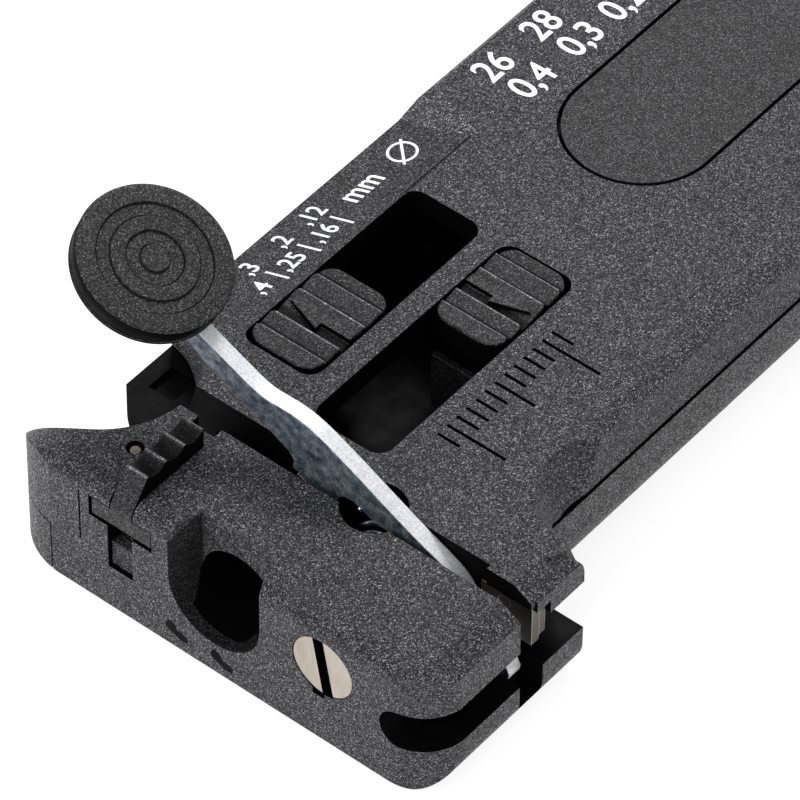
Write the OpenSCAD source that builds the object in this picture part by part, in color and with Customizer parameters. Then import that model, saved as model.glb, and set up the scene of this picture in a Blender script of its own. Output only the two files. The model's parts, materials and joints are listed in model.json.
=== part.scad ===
// Fine-wire stripper with a thumb lever, a length stop, a diameter stop and a side cutter.
// X runs across the head, Y from the front face to the tail, Z up from the flat underside.
// All shapes are drawn with the front face at Y = 0, then moved so that the origin is
// the middle of the underside.

/* [Body] */
// Length from the front face to the tail
tool_l = 115; // [100:1:140]
// Width across the head
head_w = 38; // [38:0.5:42]
// Thickness of head and handle
body_h = 11; // [11:0.1:12]
// Depth of the nose block
nose_l = 9; // [9:0.1:9.4]
// Height of the line where handle top and base meet
parting_z = 6.9; // [6.7:0.05:7]
// Thickness of the top plate
plate_t = 2; // [1.8:0.1:2.2]
// Thickness of the outer walls
wall_t = 1.8; // [1.5:0.1:2.2]
// Thickness of the floor
floor_t = 1.6; // [1.4:0.1:1.6]

/* [Handle] */
// Left side of the handle
handle_left = -16.3; // [-17:0.1:-16]
// Right side of the handle at the base
handle_right = 13.7; // [13:0.1:14]
// Radius of the tail corners seen from above
tail_r = 12; // [6:0.5:13]
// Radius of the lower long edges
belly_r = 4; // [2:0.25:5]
// Width of the raised handle panel
inlay_w = 11; // [10:0.5:13]
// Width of the groove around the panel
inlay_gap = 0.3; // [0.2:0.1:0.6]

/* [Lever] */
// Distance of the pivot from the middle
pivot_x = 9.85; // [9.7:0.05:10]
// Height of the pivot
pivot_z = 7; // [6.9:0.05:7.1]
// Angle between the open and the closed lever
open_deg = 25; // [22:0.5:26]
// Thickness of the steel lever
lever_t = 1.25; // [1:0.05:1.3]
// Diameter of the thumb button
button_d = 11; // [10:0.5:11]
// Thickness of the thumb button
button_t = 2; // [1.8:0.1:2.2]

/* [Wire path] */
// Distance of the wire hole from the middle
wire_x = 0.6; // [0.4:0.1:0.8]
// Height of the wire hole
wire_z = 5.6; // [5.4:0.1:5.8]
// Radius of the entry hole
entry_r = 3.1; // [3:0.05:3.2]
// Radius of the guide bore
guide_r = 2; // [1.8:0.1:2.1]

/* [Sliders] */
// Travel of the length stop
length_travel = 12.3; // [10:0.1:12.3]
// Number of length scale ticks
tick_count = 13; // [10:1:13]
// Distance between length scale ticks
tick_pitch = 1; // [1:0.1:1.1]

/* [Hidden] */
$fn = 64;
black = [0.17, 0.17, 0.18];
coal = [0.1, 0.1, 0.11];
zinc = [0.8, 0.82, 0.84];
steel = [0.6, 0.6, 0.62];
nickel = [0.76, 0.71, 0.66];
brass = [0.78, 0.62, 0.32];
eps = 0.01;
big = 60;
half_w = head_w / 2;

// Lever gap between the nose and the main housing
main_y = 11;
gap_l = main_y - nose_l;
head_y = 15.9;
cavity_y = 16.5;
lever_y0 = main_y - 0.05 - lever_t;

// Bowl that the button sinks into
bowl_x = -17;
bowl_y = 9.6;
bowl_nose_r = 7.3;
bowl_low_r = 6.1;
bowl_high_r = 7.1;
ledge_z = 7;

// Nose details
front_fillet = 1.2;
right_corner_r = 3.6;
horn_x = -18.6;
left_corner_r = 5.8;
left_top_r = 6;
right_low_r = 2.3;
skirt_t = 1.2;
corner_seam_x = -13.4;
corner_seam_z = 4.5;
seam_gap = 0.12;
slit_x = -10.8;
notch_z0 = 3.8;
notch_z1 = 7.1;
notch_x = 14.6;
funnel_l = 2.7;
entry_l = 6.2;

// Thumb button, measured from the pivot with the lever closed
button_x = -26.7;
button_y = 10.2;
button_top = 4.1;
button_low = button_top - button_t;
hub_r = 2.35;
blade_rivet_x = [-9.9, -8.5];
blade_rivet_z = -0.9;
blade_rivet_r = 0.22;

// Return spring
spring_x = 5.85;
spring_y = 10.1;
spring_bore_r = 2.3;
spring_mean_r = 1.32;
spring_wire_r = 0.22;
spring_z0 = floor_t;
spring_z1 = 10;
spring_turns = 7;

// Main housing details
flange_z = 8;
base_ledge_z = 4;
base_ledge_right = 19;
scoop_x = 17.5;
scoop_y = 21.2;
groove_h = 0.22;
recess_x0 = 13.8;
cutter_x1 = 18.3;
cutter_z0 = 5.7;
cutter_z1 = 9.1;
lip_y = 10.62;
lip_z = 9.5;
cutter_pin_z = 8.3;
cutter_front_t = 0.75;
cutter_rear_t = 0.6;
plate_z = body_h - plate_t;

// Windows in the top plate: left, right, near and far edges
length_win = [-2.7, 3.5, 13.7, 34.5];
diameter_win = [-10.9, -4.5, 16.25, 34.5];
win_r = 1.2;
field_drop = 0.15;
field_x = -10.8;
channel_side = 1.2;

// Sliders at rest
length_x = [-2.6, 3.1];
length_y = [26.1, 34.4];
diameter_x = [-10.75, -4.93];
diameter_y = [16.65, 25.35];
flange_side = 1;
cap_r = 1.4;
flange_z0 = 7;
flange_z1 = plate_z - 0.1;

// Lock slider
lock_x = [-8.05, -6.25];
lock_clear = 0.12;
lock_z0 = 7.85;
foot_x = [-9.7, -4.62];
foot_z0 = 8.15;
foot_z1 = 9.6;
foot_l = 2.4;
lock_len = 7.3;
lock_travel = 2;
tongue_z0 = 9.45;
pin_l = 1.1;
pin_x = -9.5;
pin_y = 4.2;
pin_r = 0.36;
rib_top = 12.5;
rib_depth = 0.45;
rib_pitch = 1.85;
rib_y0 = 1.75;

// Cam bar of the diameter stop
cam_x = [-8.28, -6.36];
cam_z0 = 4;
cam_tip_z = 6.15;
cam_step_z = 0.14;
cam_step_l = 2.35;
cam_steps = 5;
cam_end_y = 24;

// Screws
screw_r = 1;
screw_head_r = 1.9;
housing_pts = [[-12.2, 38], [9.9, 22], [-12.2, 66], [9.6, 66], [-1.5, tool_l - 7]];
nose_pts = [[-11.7, 4], [6.2, 3.4]];
insert_r = 1.6;
boss_r = 1.85;
boss_z = 3.6;

// The open button reaches furthest left, the head furthest right
left_x = pivot_x + (button_x - button_d / 2) * cos(open_deg) + button_low * sin(open_deg);
mid_x = (left_x + half_w) / 2;

module place() translate([-mid_x, -tool_l / 2, 0]) children();

// A 2D shape drawn in X and Z, pushed along Y from y0 to y1
module along_y(y0, y1) {
    translate([0, y1, 0]) rotate([90, 0, 0]) linear_extrude(y1 - y0) children();
}

// A 2D shape drawn in Y and Z, pushed along X from x0 to x1
module along_x(x0, x1) {
    translate([x0, 0, 0]) rotate([90, 0, 90]) linear_extrude(x1 - x0) children();
}

// A box given by its low and high limits
module block(x0, x1, y0, y1, z0, z1) {
    translate([x0, y0, z0]) cube([x1 - x0, y1 - y0, z1 - z0]);
}

// A round bar along Y
module rod_y(x, z, r, y0, y1) {
    translate([x, y1, z]) rotate([90, 0, 0]) cylinder(r = r, h = y1 - y0);
}

// A round bar along X
module rod_x(x0, x1, y, z, r) {
    translate([x0, y, z]) rotate([0, 90, 0]) cylinder(r = r, h = x1 - x0);
}

// A rectangle with four round corners
module round_rect(x0, x1, y0, y1, r) {
    translate([x0 + r, y0]) square([x1 - x0 - 2 * r, y1 - y0]);
    translate([x0, y0 + r]) square([x1 - x0, y1 - y0 - 2 * r]);
    for (x = [x0 + r, x1 - r], y = [y0 + r, y1 - r]) translate([x, y]) circle(r);
}

// Turns the closed lever into its open rest position
module opened() {
    translate([pivot_x, 0, pivot_z]) rotate([0, open_deg, 0]) children();
}

// ---- Outlines ----

module nose_plan() {
    difference() {
        union() {
            translate([horn_x + left_corner_r, 0])
                square([half_w - horn_x - left_corner_r - right_corner_r, nose_l]);
            translate([horn_x, left_corner_r])
                square([half_w - horn_x, nose_l - left_corner_r]);
            translate([half_w - right_corner_r, right_corner_r])
                square([right_corner_r, nose_l - right_corner_r]);
            translate([horn_x + left_corner_r, left_corner_r]) circle(left_corner_r);
            translate([half_w - right_corner_r, right_corner_r]) circle(right_corner_r);
        }
        translate([bowl_x, bowl_y]) circle(bowl_nose_r);
    }
}

module nose_side() {
    square([nose_l, body_h - front_fillet]);
    translate([front_fillet, 0]) square([nose_l - front_fillet, body_h]);
    translate([front_fillet, body_h - front_fillet]) circle(front_fillet);
}

module nose_front() {
    polygon([
        [horn_x + left_top_r, 0], [half_w - right_low_r, 0], [half_w, right_low_r],
        [half_w - 0.1, body_h - 1], [half_w - 1.8, body_h], [horn_x + left_top_r, body_h]
    ]);
    translate([half_w - right_low_r, right_low_r]) circle(right_low_r);
    translate([horn_x, 0]) square([left_top_r, body_h - left_top_r]);
    translate([horn_x + left_top_r, body_h - left_top_r]) circle(left_top_r);
}

module handle_plan() {
    w = handle_right - handle_left;
    translate([handle_left, main_y]) square([w, tool_l - main_y - tail_r]);
    translate([handle_left + tail_r, main_y]) square([w - 2 * tail_r, tool_l - main_y]);
    for (x = [handle_left + tail_r, handle_right - tail_r])
        translate([x, tool_l - tail_r]) circle(tail_r);
}

module handle_top_section(inset = 0) {
    polygon([
        [handle_left + inset, parting_z], [handle_left + inset, body_h - 0.5 - inset],
        [handle_left + 0.5 + inset, body_h - inset], [handle_right - 1.6 - inset, body_h - inset],
        [handle_right - 0.5 - inset, body_h - 0.4 - inset],
        [handle_right - 0.1 - inset, parting_z + groove_h + 0.05],
        [handle_right - 0.4 - inset, parting_z + groove_h], [handle_right - 0.4 - inset, parting_z]
    ]);
}

module handle_base_section() {
    translate([handle_left, belly_r])
        square([handle_right - handle_left, parting_z - belly_r]);
    translate([handle_left + belly_r, 0])
        square([handle_right - handle_left - 2 * belly_r, parting_z]);
    for (x = [handle_left + belly_r, handle_right - belly_r])
        translate([x, belly_r]) circle(belly_r);
}

module inlay_plan(grow = 0) {
    r = inlay_w / 2 + grow;
    x = -2.5;
    y0 = 43.5 + inlay_w / 2;
    y1 = tool_l - 18;
    for (y = [y0, y1]) translate([x, y]) circle(r);
    translate([x - r, y0]) square([2 * r, y1 - y0]);
}

// ---- Fixed body ----

module right_ledge() {
    r = right_low_r;
    intersection() {
        block(handle_right - 4, base_ledge_right, 11.4, 15.6, 0, base_ledge_z);
        along_y(main_y, head_y) {
            translate([0, 0]) square([base_ledge_right - r, base_ledge_z]);
            translate([base_ledge_right - r, r])
                square([r, base_ledge_z - r]);
            translate([base_ledge_right - r, r]) circle(r);
        }
    }
}

module base_front() {
    intersection() {
        linear_extrude(corner_seam_z - seam_gap) nose_plan();
        along_y(-1, main_y) nose_front();
        union() {
            block(-half_w, corner_seam_x - seam_gap, 0, nose_l, 0, corner_seam_z);
            block(corner_seam_x - 1, half_w, skirt_t, nose_l, 0, floor_t - 0.2);
        }
    }
    intersection() {
        block(-12, half_w, nose_l - 1, main_y + 1, 0, floor_t - 0.2);
        along_y(nose_l - 1, main_y + 1) nose_front();
    }
}

module base_shell() {
    color(black) place() difference() {
        union() {
            intersection() {
                linear_extrude(parting_z) handle_plan();
                along_y(main_y, tool_l) handle_base_section();
            }
            base_front();
            right_ledge();
        }
        // Room for the head block of the top shell
        block(-9.6, notch_x + big, main_y - 1, head_y, base_ledge_z, big);
        block(-9.6, 14.55, main_y - eps, head_y, floor_t, big);
        // Handle cavity
        intersection() {
            block(handle_left + wall_t, handle_right - wall_t, head_y - eps, tool_l - wall_t,
                  floor_t, big);
            translate([0, -wall_t, 0]) linear_extrude(big) handle_plan();
        }
        // Relief in the left ledge
        block(-15, -12.8, 11.8, 14.2, ledge_z - 0.6, big);
        translate([0, 0, -eps]) for (p = housing_pts) translate([p[0], p[1], 0]) {
            cylinder(r = screw_head_r + 0.05, h = 1.1);
            cylinder(r = screw_r + 0.05, h = big);
        }
        translate([0, 0, -eps]) for (p = nose_pts) translate([p[0], p[1], 0]) {
            cylinder(r = screw_head_r + 0.05, h = 0.8);
            cylinder(r = screw_r + 0.05, h = big);
        }
    }
}

// The part of the head block that carries the cutter plates
module flange() {
    r = 2.2;
    intersection() {
        union() {
            block(14, half_w - 0.2, main_y, head_y - r, flange_z, body_h);
            block(14, half_w - 0.2, main_y, head_y, flange_z, body_h - r);
            rod_x(14, half_w - 0.2, head_y - r, body_h - r, r);
            block(14.8, half_w - 0.5, lip_y, main_y + 0.1, lip_z, body_h);
        }
        along_y(lip_y - 1, head_y + 1) translate([-0.2, 0]) nose_front();
        block(13, half_w, lip_y - 1, head_y + 1, flange_z, body_h);
    }
    // Web between the flange and the side of the handle
    difference() {
        block(12, scoop_x, head_y - 2, scoop_y, flange_z, body_h);
        side_scoop();
    }
}

// Hollow sweep in the side of the handle, wider at the top
module side_scoop() {
    translate([scoop_x, scoop_y, parting_z - 0.1]) cylinder(r1 = 3.96, r2 = 5.84, h = 4.8);
}

module top_body() {
    // Head block, cut back around the button
    difference() {
        union() {
            block(-9.55, 14.5, main_y, head_y, floor_t, body_h);
            flange();
            block(handle_left, -9, main_y, cavity_y, ledge_z, body_h);
        }
        translate([bowl_x, bowl_y, ledge_z])
            cylinder(r1 = bowl_low_r, r2 = bowl_high_r, h = body_h - ledge_z);
        translate([bowl_x, bowl_y, -1]) cylinder(r = bowl_low_r, h = body_h + 2);
    }
    // Handle top, hollow below the plate
    difference() {
        intersection() {
            translate([0, 0, parting_z]) linear_extrude(big) handle_plan();
            along_y(head_y - eps, tool_l) handle_top_section();
        }
        intersection() {
            block(handle_left + wall_t, handle_right - wall_t - 0.4, cavity_y,
                  tool_l - wall_t, 0, plate_z);
            translate([0, -wall_t, 0]) linear_extrude(big) handle_plan();
        }
        side_scoop();
    }
    for (p = housing_pts) translate([p[0], p[1], boss_z])
        cylinder(r = boss_r, h = plate_z - boss_z + eps);
}

module window(w) {
    translate([0, 0, plate_z - eps]) linear_extrude(plate_t + 1)
        round_rect(w[0], w[1], w[2], w[3], win_r);
}

module length_ticks() {
    for (i = [0:tick_count - 1]) {
        n = i + 4;
        tick_l = (n % 5 == 0) ? (n == 10 ? 3.4 : 4.9) : 1.85;
        block(4.9, 4.9 + tick_l, 17.67 + i * tick_pitch, 17.93 + i * tick_pitch,
              body_h - 0.25, body_h + 1);
    }
}

// Sloped field for the diameter scale, with a ramp at its far end
module scale_field() {
    intersection() {
        translate([0, 0, plate_z]) linear_extrude(plate_t + 1)
            polygon([[-20, 16.6], [field_x, 16.6], [field_x, 43], [-20, 46.9]]);
        translate([field_x, 0, body_h - field_drop]) rotate([0, -9.5, 0])
            block(-12, 2, 0, big, 0, 3);
        translate([-10.9, 41.4, body_h]) rotate([0, 0, 156.8]) rotate([-16, 0, 0])
            block(-20, 30, 0, big, 0, 30);
    }
}

module top_shell() {
    color(black) place() difference() {
        top_body();
        window(length_win);
        window(diameter_win);
        block(length_win[0] - channel_side, length_win[1] + channel_side,
              length_win[2] - 0.1, head_y + 2, floor_t - eps, plate_z);
        block(cam_x[0] - 0.1, cam_x[1] + 0.1, main_y - 1, head_y + 2, 3.8, 7.7);
        rod_y(wire_x, wire_z, guide_r + 0.3, main_y - 1, length_win[2] + 1);
        rod_y(pivot_x, pivot_z, insert_r, main_y - 1, 14.8);
        translate([spring_x, spring_y, -1]) cylinder(r = spring_bore_r, h = big);
        block(recess_x0, big, main_y - 1, main_y + 1.4, 5, cutter_z1 + 0.05);
        rod_y(16, cutter_pin_z, 0.5, main_y, 14);
        scale_field();
        length_ticks();
        translate([0, 0, body_h - 1]) linear_extrude(2) inlay_plan(inlay_gap);
        for (p = housing_pts) translate([p[0], p[1], boss_z - eps])
            cylinder(r = 1.3, h = 4.6);
    }
}

module funnel_slice(y, half, z) {
    translate([wire_x + 0.1, y, 0]) rotate([90, 0, 0]) linear_extrude(eps) {
        translate([0, z]) circle(half, $fn = 32);
        translate([-half, z]) square([2 * half, 12 - z]);
    }
}

module nose_block() {
    color(black) place() difference() {
        intersection() {
            linear_extrude(body_h) nose_plan();
            along_x(-half_w - 1, half_w + 1) nose_side();
            along_y(-1, nose_l + 1) nose_front();
        }
        // Room for the base shell
        block(-half_w - 1, half_w + 1, skirt_t, nose_l + 1, -1, floor_t - 0.2);
        block(-half_w - 1, corner_seam_x, -1, nose_l + 1, -1, corner_seam_z);
        // Side cutter notch
        rod_y(notch_x + 1.65, (notch_z0 + notch_z1) / 2, (notch_z1 - notch_z0) / 2,
              -1, nose_l + 1);
        block(notch_x + 1.65, half_w + 1, -1, nose_l + 1, notch_z0, notch_z1);
        // Wire entry
        hull() {
            funnel_slice(-0.02, 3.9, 6.6);
            funnel_slice(funnel_l, 3.15, 5.75);
        }
        rod_y(wire_x, wire_z, entry_r, 1, entry_l);
        rod_y(wire_x, wire_z, guide_r, entry_l - 1, nose_l + 1);
        // Pivot screw
        rod_y(pivot_x, pivot_z, 2.5, -1, 1.7);
        rod_y(pivot_x, pivot_z, screw_r + 0.05, 0, nose_l + 1);
        block(pivot_x - 0.8, pivot_x + 0.2, -1, 0.7, 4.1, 5);
        translate([spring_x, spring_y, -1]) cylinder(r = spring_bore_r, h = big);
        // Slit that frees the catch beside the lock slider
        block(slit_x - 0.07, slit_x + 0.07, -1, 0.35, 4.84, 9.56);
        // Lock slider, its foot and the cam bar
        block(lock_x[0] - lock_clear, lock_x[1] + lock_clear, -1, nose_l + 1, 7.7, big);
        block(foot_x[0] - 0.28, foot_x[1] + 0.07, -1, foot_l + lock_travel + 0.2, 7.8,
              foot_z1 + 0.08);
        block(cam_x[0] - 0.1, cam_x[1] + 0.1, -1, nose_l + 1, 3.88, 7.8);
        translate([pin_x, pin_y, body_h - pin_l - 0.2]) cylinder(r = pin_r, h = 4);
        translate([pin_x, pin_y, body_h - 0.4]) cylinder(r = pin_r + 0.27, h = 1);
        for (p = nose_pts) translate([p[0], p[1], 0]) cylinder(r = screw_r - 0.1, h = 5);
    }
}

module handle_inlay() {
    color(coal) place() translate([0, 0, body_h - 1]) linear_extrude(1) inlay_plan();
}

// Slotted screw whose head lies in the front face
module pivot_screw() {
    color(nickel) place() difference() {
        union() {
            rod_y(pivot_x, pivot_z, 2.45, 0.05, 1.7);
            rod_y(pivot_x, pivot_z, screw_r, 1.6, 14.6);
        }
        translate([pivot_x, 0, pivot_z]) rotate([0, -10.5, 0])
            block(-0.45, 0.45, -1, 0.75, -3, 3);
    }
}

module pivot_bush() {
    color(nickel) place() difference() {
        rod_y(pivot_x, pivot_z, 1.5, nose_l, main_y);
        rod_y(pivot_x, pivot_z, screw_r, nose_l - 1, main_y + 1);
    }
}

module pivot_insert() {
    color(brass) place() difference() {
        rod_y(pivot_x, pivot_z, insert_r, main_y, 14.6);
        rod_y(pivot_x, pivot_z, screw_r, main_y - 1, 15);
    }
}

// Compression spring as a sleeve of the coil's size
module return_spring() {
    color(steel) place() translate([spring_x, spring_y, spring_z0]) difference() {
        cylinder(r = spring_mean_r + spring_wire_r, h = spring_z1 - spring_z0);
        translate([0, 0, -1])
            cylinder(r = spring_mean_r - spring_wire_r, h = spring_z1 + 1);
    }
}

module fixed_blade() {
    color(steel) place() along_y(nose_l + 0.2, nose_l + 0.6) difference() {
        polygon([
            [wire_x - 3, floor_t], [wire_x + 3, floor_t], [wire_x + 3, 4.4],
            [wire_x + 1.6, 5.35], [wire_x - 1.6, 5.35], [wire_x - 3, 4.4]
        ]);
        for (i = [-1, 0, 1]) translate([wire_x + i * 0.9, 5.35]) circle(0.2);
    }
}

module fixed_blade_seat() {
    color(steel) place() difference() {
        block(wire_x - 3, wire_x + 3, nose_l + 0.6, main_y, floor_t, 4.3);
        for (x = [-2, 2]) rod_y(wire_x + x, 3, 0.5, nose_l, main_y + 1);
    }
}

module fixed_blade_rivets() {
    color(steel) place() for (x = [-2, 2]) {
        rod_y(wire_x + x, 3, 0.5, nose_l + 0.6, main_y - 0.05);
    }
}

module cutter_plate(y0, y1, x0, z0) {
    difference() {
        along_y(y0, y1) polygon([
            [x0, z0], [cutter_x1, z0], [cutter_x1, cutter_z1], [x0, cutter_z1]
        ]);
        rod_y(16, cutter_pin_z, 0.5, y0 - 1, y1 + 1);
    }
}

module cutter_plate_front() {
    color(steel) place() cutter_plate(main_y, main_y + cutter_front_t, 14.1, cutter_z0);
}

module cutter_plate_rear() {
    y = main_y + cutter_front_t;
    color(steel) place() cutter_plate(y, y + cutter_rear_t, 14.1, cutter_z0 + 0.4);
}

module cutter_rivets() {
    color(steel) place() rod_y(16, cutter_pin_z, 0.48, main_y + 0.02, 13.8);
}

module screw_up(head_r, head_h, z0, length) {
    difference() {
        union() {
            translate([0, 0, z0]) cylinder(r = head_r, h = head_h);
            translate([0, 0, z0]) cylinder(r = screw_r - 0.1, h = length);
        }
        for (a = [0, 90]) rotate([0, 0, a])
            translate([0, 0, z0]) cube([2.2, 0.45, 1], center = true);
    }
}

module nose_screws() {
    color(steel) place() for (p = nose_pts) {
        translate([p[0], p[1], 0]) screw_up(screw_head_r, 0.6, 0.15, 4.6);
    }
}

module housing_screws() {
    color(steel) place() for (p = housing_pts) {
        translate([p[0], p[1], 0]) screw_up(screw_head_r, 0.8, 0.2, 6.8);
    }
}

module housing_inserts() {
    color(brass) place() for (p = housing_pts) translate([p[0], p[1], boss_z]) {
        difference() {
            cylinder(r = 1.3, h = 4);
            translate([0, 0, -1]) cylinder(r = screw_r, h = 6);
        }
    }
}

module lock_pin() {
    color(nickel) place() translate([pin_x, pin_y, body_h - pin_l - 0.2])
        cylinder(r = pin_r, h = pin_l);
}

module length_click_spring() {
    color(steel) place() block(4.85, 5.05, 18, 36, 7.2, 8.7);
}

module diameter_click_spring() {
    color(steel) place() block(-12.35, -12.15, 17.5, 35, 7.2, 8.7);
}

// ---- Lever group, drawn closed with the pivot at the origin, then opened ----

module lever_outline() {
    hub = [for (a = [-60:-15:-210]) hub_r * [cos(a), sin(a)]];
    difference() {
        polygon(concat(
            // Upper edge from the button to the cutting tip
            [[-31, 1.3], [-30, 2.1], [-15.7, 2.1], [-14.2, 2.9], [-12.8, 3.5],
             [-11, 3.75], [-8, 3.75], [-3, 3.5], [1.2, 3.55], [2.6, 3.1], [8.3, 0.2],
             [8.7, -0.4], [8.4, -1.4], [7.4, -2.1]],
            // Round the hub, then past the spring notch and the blade seat
            hub,
            [[-3.1, 1.9], [-5.2, 1.2], [-6.6, 1.2], [-7.3, 0.8], [-7.6, 0.1], [-7.6, -1.2],
             [-11.1, -1.2], [-11.4, -0.4], [-12.4, -0.1], [-19, 0], [-21, 0.5], [-31, 0.5]]
        ));
        circle(1.56);
        for (x = blade_rivet_x) translate([x, blade_rivet_z]) circle(blade_rivet_r);
        for (x = [-2.2, 2.2]) translate([button_x + x, 1.3]) circle(0.4);
    }
}

module lever() {
    color(zinc) place() opened() along_y(lever_y0, lever_y0 + lever_t) lever_outline();
}

module thumb_button() {
    r = button_d / 2;
    rim = 0.9;
    color(black) place() opened() difference() {
        translate([button_x, button_y, button_low]) {
            rotate_extrude() {
                square([r - rim, button_t]);
                square([r, button_t - rim]);
                translate([r - rim, button_t - rim]) circle(rim);
            }
            translate([0, 0, -1.7]) cylinder(r1 = 3.6, r2 = 4.2, h = 1.7 + eps);
        }
        block(-34, -20, lever_y0, lever_y0 + lever_t, 0, button_low);
        for (x = [-2.2, 2.2]) rod_y(button_x + x, 1.3, 0.4, 0, 20);
    }
}

module button_rivets() {
    color(steel) place() opened() for (x = [-2.2, 2.2]) {
        rod_y(button_x + x, 1.3, 0.39, 8, 12.4);
    }
}

module moving_blade() {
    color(steel) place() opened() along_y(lever_y0 - 0.4, lever_y0) difference() {
        polygon([[-10.5, -0.6], [-10.5, -1.1], [-10, -1.55], [-8.5, -1.55], [-7.8, -1.1], [-7.8, -0.6]]);
        for (x = blade_rivet_x) translate([x, blade_rivet_z]) circle(blade_rivet_r);
        for (i = [-0.5, 0.5]) translate([-9.25 + i * 0.9, -1.55]) circle(0.15);
    }
}

module blade_rivets() {
    color(steel) place() opened() for (x = blade_rivet_x) {
        rod_y(x, blade_rivet_z, blade_rivet_r - 0.01, lever_y0 - 0.4, lever_y0 + lever_t);
    }
}

// ---- Lock slider ----

module lock_slider() {
    scoop_r = 1.08;
    color(black) place() {
        along_x(lock_x[0], lock_x[1]) difference() {
            polygon([
                [0, foot_z1 - 0.2], [1, lock_z0], [lock_len, lock_z0], [lock_len, rib_top],
                [rib_y0, rib_top], [0, 10]
            ]);
            for (i = [0.5:2.5]) translate([rib_y0 + i * rib_pitch, rib_top - rib_depth + scoop_r])
                circle(scoop_r);
        }
        block(foot_x[0], foot_x[1], 0, foot_l, foot_z0, foot_z1);
        block(lock_x[0], lock_x[1], lock_len - 1, nose_l - 0.1, tongue_z0, tongue_z0 + 0.6);
    }
}

module lock_spring_strip() {
    color(steel) place() block(lock_x[0] + 0.4, lock_x[1] - 0.4, 3, 7.2, lock_z0 - 0.12, lock_z0);
}

// ---- Sliding stops ----

module slider_cap(xs, ys, point_right) {
    mid_y = (ys[0] + ys[1]) / 2;
    tip = point_right ? 1 : -1;
    mid_x = (xs[0] + xs[1]) / 2;
    difference() {
        translate([0, 0, flange_z1]) linear_extrude(body_h - flange_z1)
            round_rect(xs[0], xs[1], ys[0], ys[1], cap_r);
        for (i = [0:6]) translate([mid_x, ys[0] + 1 + i * 1.05, body_h + 0.1])
            rotate([0, 90, 0]) cylinder(r = 0.3, h = 10, center = true);
        translate([mid_x + tip * 1.6, mid_y, body_h - 0.45]) linear_extrude(1)
            polygon([[tip * 1.2, 0], [-tip * 1.4, -1.3], [-tip * 1.4, 1.3]]);
    }
    block(xs[0] - flange_side, xs[1] + flange_side, ys[0] + 0.4, ys[1] - 0.4,
          flange_z0, flange_z1);
}

module diameter_slider() {
    color(black) place() {
        slider_cap(diameter_x, diameter_y, false);
        block(cam_x[0], cam_x[1], 18, 24, cam_top(cam_steps - 1), flange_z0);
    }
}

function cam_top(i) = cam_tip_z + i * cam_step_z;

// Stepped bar: each step lets the lever close a little further
module diameter_cam() {
    color(steel) place() along_x(cam_x[0], cam_x[1]) for (i = [0:cam_steps - 1]) {
        y0 = 0.3 + i * cam_step_l;
        y1 = (i == cam_steps - 1) ? cam_end_y : y0 + cam_step_l;
        translate([y0, cam_z0]) square([y1 - y0, cam_top(i) - cam_z0]);
    }
}

module length_slider() {
    color(black) place() {
        slider_cap(length_x, length_y, true);
        block(-2.3, 2.9, length_y[0] + 0.5, length_y[1] - 1, 2, flange_z0);
    }
}

module length_stop_plate() {
    color(steel) place() block(-2.3, 2.9, length_y[0], length_y[0] + 0.5, 2, flange_z0);
}

base_shell();
top_shell();
nose_block();
handle_inlay();
pivot_screw();
pivot_bush();
pivot_insert();
return_spring();
fixed_blade();
fixed_blade_seat();
fixed_blade_rivets();
cutter_plate_front();
cutter_plate_rear();
cutter_rivets();
nose_screws();
housing_screws();
housing_inserts();
lock_pin();
length_click_spring();
diameter_click_spring();
lever();
thumb_button();
button_rivets();
moving_blade();
blade_rivets();
lock_slider();
lock_spring_strip();
diameter_slider();
diameter_cam();
length_slider();
length_stop_plate();
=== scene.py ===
import json
import math

import bmesh
import bpy
from mathutils import Matrix, Vector
from mathutils.bvhtree import BVHTree


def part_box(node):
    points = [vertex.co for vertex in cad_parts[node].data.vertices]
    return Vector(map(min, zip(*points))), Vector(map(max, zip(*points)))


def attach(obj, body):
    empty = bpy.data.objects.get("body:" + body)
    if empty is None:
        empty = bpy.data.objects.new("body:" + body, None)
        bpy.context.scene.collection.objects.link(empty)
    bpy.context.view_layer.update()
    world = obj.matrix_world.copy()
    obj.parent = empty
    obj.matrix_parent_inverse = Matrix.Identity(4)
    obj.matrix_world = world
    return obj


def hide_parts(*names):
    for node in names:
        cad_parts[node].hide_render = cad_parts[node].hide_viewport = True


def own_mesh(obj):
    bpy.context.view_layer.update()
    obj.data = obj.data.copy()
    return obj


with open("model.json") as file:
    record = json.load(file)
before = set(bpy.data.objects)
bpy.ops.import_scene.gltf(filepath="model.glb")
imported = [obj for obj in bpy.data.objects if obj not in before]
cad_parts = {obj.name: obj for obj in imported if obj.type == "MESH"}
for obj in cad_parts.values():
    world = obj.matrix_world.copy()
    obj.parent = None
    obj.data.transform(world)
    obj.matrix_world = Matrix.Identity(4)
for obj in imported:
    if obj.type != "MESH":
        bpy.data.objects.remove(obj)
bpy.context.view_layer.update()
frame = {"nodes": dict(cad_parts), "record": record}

# Tool coordinates are millimetres with the front face at y = 0 and the right side of
# the head at x = 19; P() turns them into the frame's metres.
MM = 0.001
HEAD_HALF = 19.0
TOP_Z = 11.0
nose_low, nose_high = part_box("nose_block")
OFFSET = Vector((nose_high.x / MM - HEAD_HALF, nose_low.y / MM, 0.0))

# The lever's pivot and its open angle at rest
PIVOT_X = 9.85
PIVOT_Z = 7.0
OPEN_DEG = 25.0
OPEN_COS = math.cos(math.radians(OPEN_DEG))
OPEN_SIN = math.sin(math.radians(OPEN_DEG))


def P(x, y, z):
    return (Vector((x, y, z)) + OFFSET) * MM


def opened(x, y, z):
    """A point measured from the pivot on the closed lever, at its open place."""
    return Vector((PIVOT_X + x * OPEN_COS + z * OPEN_SIN, y,
                   PIVOT_Z - x * OPEN_SIN + z * OPEN_COS))


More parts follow.
